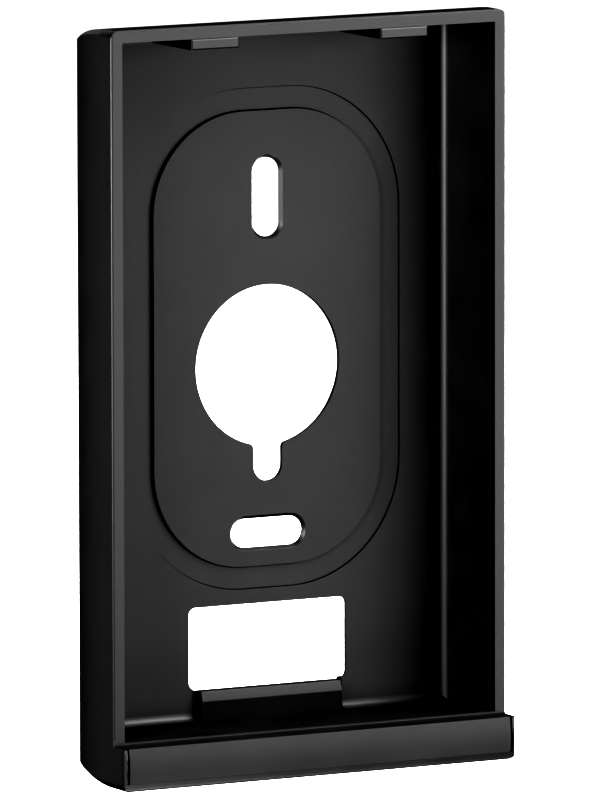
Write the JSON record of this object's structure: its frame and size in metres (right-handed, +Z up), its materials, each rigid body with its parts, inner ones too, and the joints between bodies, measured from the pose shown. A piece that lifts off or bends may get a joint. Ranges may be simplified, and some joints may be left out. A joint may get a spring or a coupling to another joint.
{
  "type": "video doorbell wall housing",
  "caption": "Open-fronted moulded wall housing for a video doorbell, with a slotted mounting plate, cable hole, window, locating lugs, front ledge and a sprung latch.",
  "frame": {"origin": "on the axis of the cable hole, in the plane of the housing's rear face that lies on the wall", "axes": "+X to the viewer's right, +Y into the wall, +Z up; the open front faces -Y"},
  "size_m": [0.079, 0.0224, 0.1342],
  "materials": {
    "housing_plastic": "fine matte moulded texture",
    "plate_plastic": "fine matte moulded texture",
    "latch_plastic": "smooth satin",
    "seal_rubber": "matte",
    "steel": "drawn wire and turned surfaces"
  },
  "bodies": {
    "housing": {"housing": "housing_plastic", "mounting_plate": "plate_plastic", "plate_seal": "seal_rubber", "lug_left": "housing_plastic", "lug_right": "housing_plastic", "ledge_strip": "housing_plastic", "latch_pin": "steel", "latch_spring_left": "steel", "latch_spring_right": "steel", "latch_keeper": "latch_plastic", "keeper_screws": "steel", "wall_gasket": "seal_rubber"},
    "latch": {"latch": "latch_plastic"}
  },
  "joints": [
    {"name": "latch_pivot", "type": "hinge", "parent": "housing", "child": "latch", "pos_m": [0, -0.003, -0.066], "axis": [-1, 0, 0], "range_deg": [0, 7], "stiffness_Nm_per_rad": 0.02, "springref_deg": -20.05, "deforming": ["latch_spring_left", "latch_spring_right"]}
  ]
}
